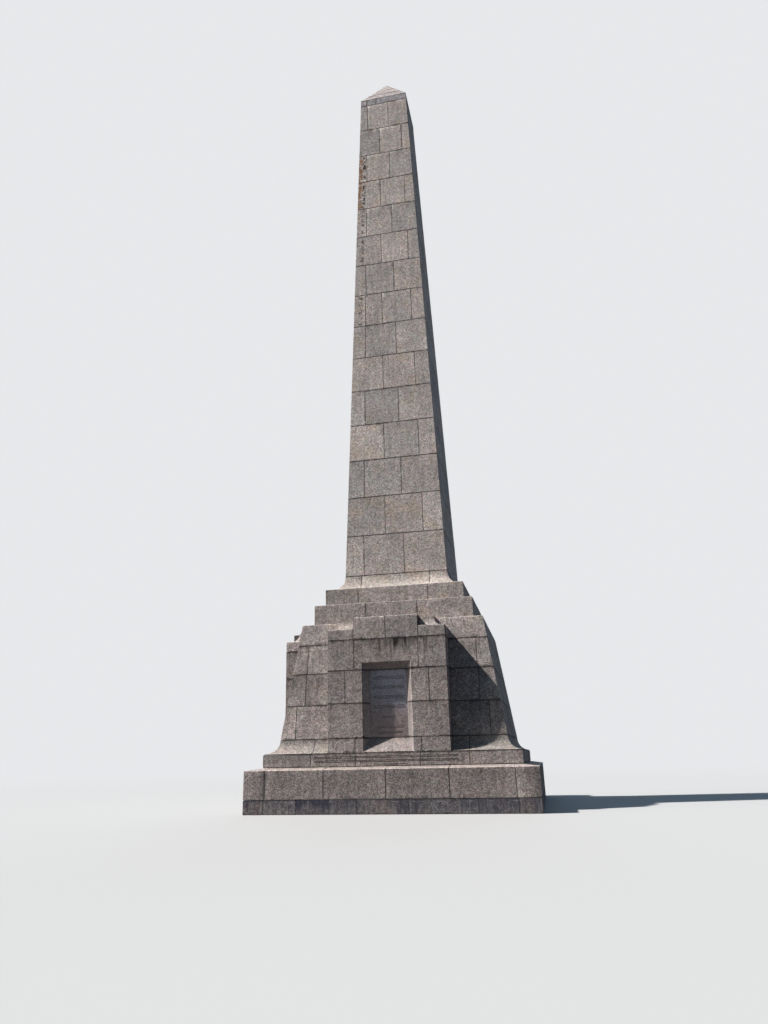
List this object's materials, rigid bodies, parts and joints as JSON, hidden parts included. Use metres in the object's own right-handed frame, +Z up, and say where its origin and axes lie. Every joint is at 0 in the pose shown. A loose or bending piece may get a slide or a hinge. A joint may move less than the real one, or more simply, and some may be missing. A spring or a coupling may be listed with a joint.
{
  "type": "granite memorial obelisk",
  "caption": "Tall tapering granite obelisk on a battered pedestal with projecting niched bays, steps and a moulded plinth; bare of lettering.",
  "frame": {"origin": "middle of the foot course at ground level", "axes": "+Z up along the shaft, -Y towards the front bay, +X towards the side with no bay"},
  "size_m": [7.06, 7.06, 25.6],
  "materials": {
    "base_granite": "weathered, stained dark near the ground",
    "pedestal_granite": "weathered dressed granite",
    "bay_granite": "weathered dressed granite",
    "tablet_granite": "smooth dressed granite",
    "shaft_granite": "weathered dressed granite",
    "cap_granite": "weathered dressed granite"
  },
  "bodies": {
    "root": {"foot_course": "base_granite", "plinth_course": "base_granite", "base_course": "base_granite", "pedestal_flare": "pedestal_granite", "pedestal_lower_course": "pedestal_granite", "pedestal_middle_course": "pedestal_granite", "pedestal_upper_course": "pedestal_granite", "pedestal_top_course": "pedestal_granite", "lower_step": "pedestal_granite", "upper_step": "pedestal_granite", "shaft_foot": "shaft_granite", "shaft_course_01": "shaft_granite", "shaft_course_02": "shaft_granite", "shaft_course_03": "shaft_granite", "shaft_course_04": "shaft_granite", "shaft_course_05": "shaft_granite", "shaft_course_06": "shaft_granite", "shaft_course_07": "shaft_granite", "shaft_course_08": "shaft_granite", "shaft_course_09": "shaft_granite", "shaft_course_10": "shaft_granite", "shaft_course_11": "shaft_granite", "shaft_course_12": "shaft_granite", "shaft_course_13": "shaft_granite", "shaft_course_14": "shaft_granite", "shaft_course_15": "shaft_granite", "cap_band": "cap_granite", "pyramid_stone": "cap_granite", "front_bay_sill": "bay_granite", "front_bay_jambs": "bay_granite", "front_bay_tablet": "tablet_granite", "front_bay_lintel": "bay_granite", "front_bay_shoulders": "bay_granite", "front_bay_crest": "bay_granite", "left_bay_sill": "bay_granite", "left_bay_jambs": "bay_granite", "left_bay_tablet": "tablet_granite", "left_bay_lintel": "bay_granite", "left_bay_shoulders": "bay_granite", "left_bay_crest": "bay_granite", "back_bay_sill": "bay_granite", "back_bay_jambs": "bay_granite", "back_bay_tablet": "tablet_granite", "back_bay_lintel": "bay_granite", "back_bay_shoulders": "bay_granite", "back_bay_crest": "bay_granite"}
  },
  "joints": []
}
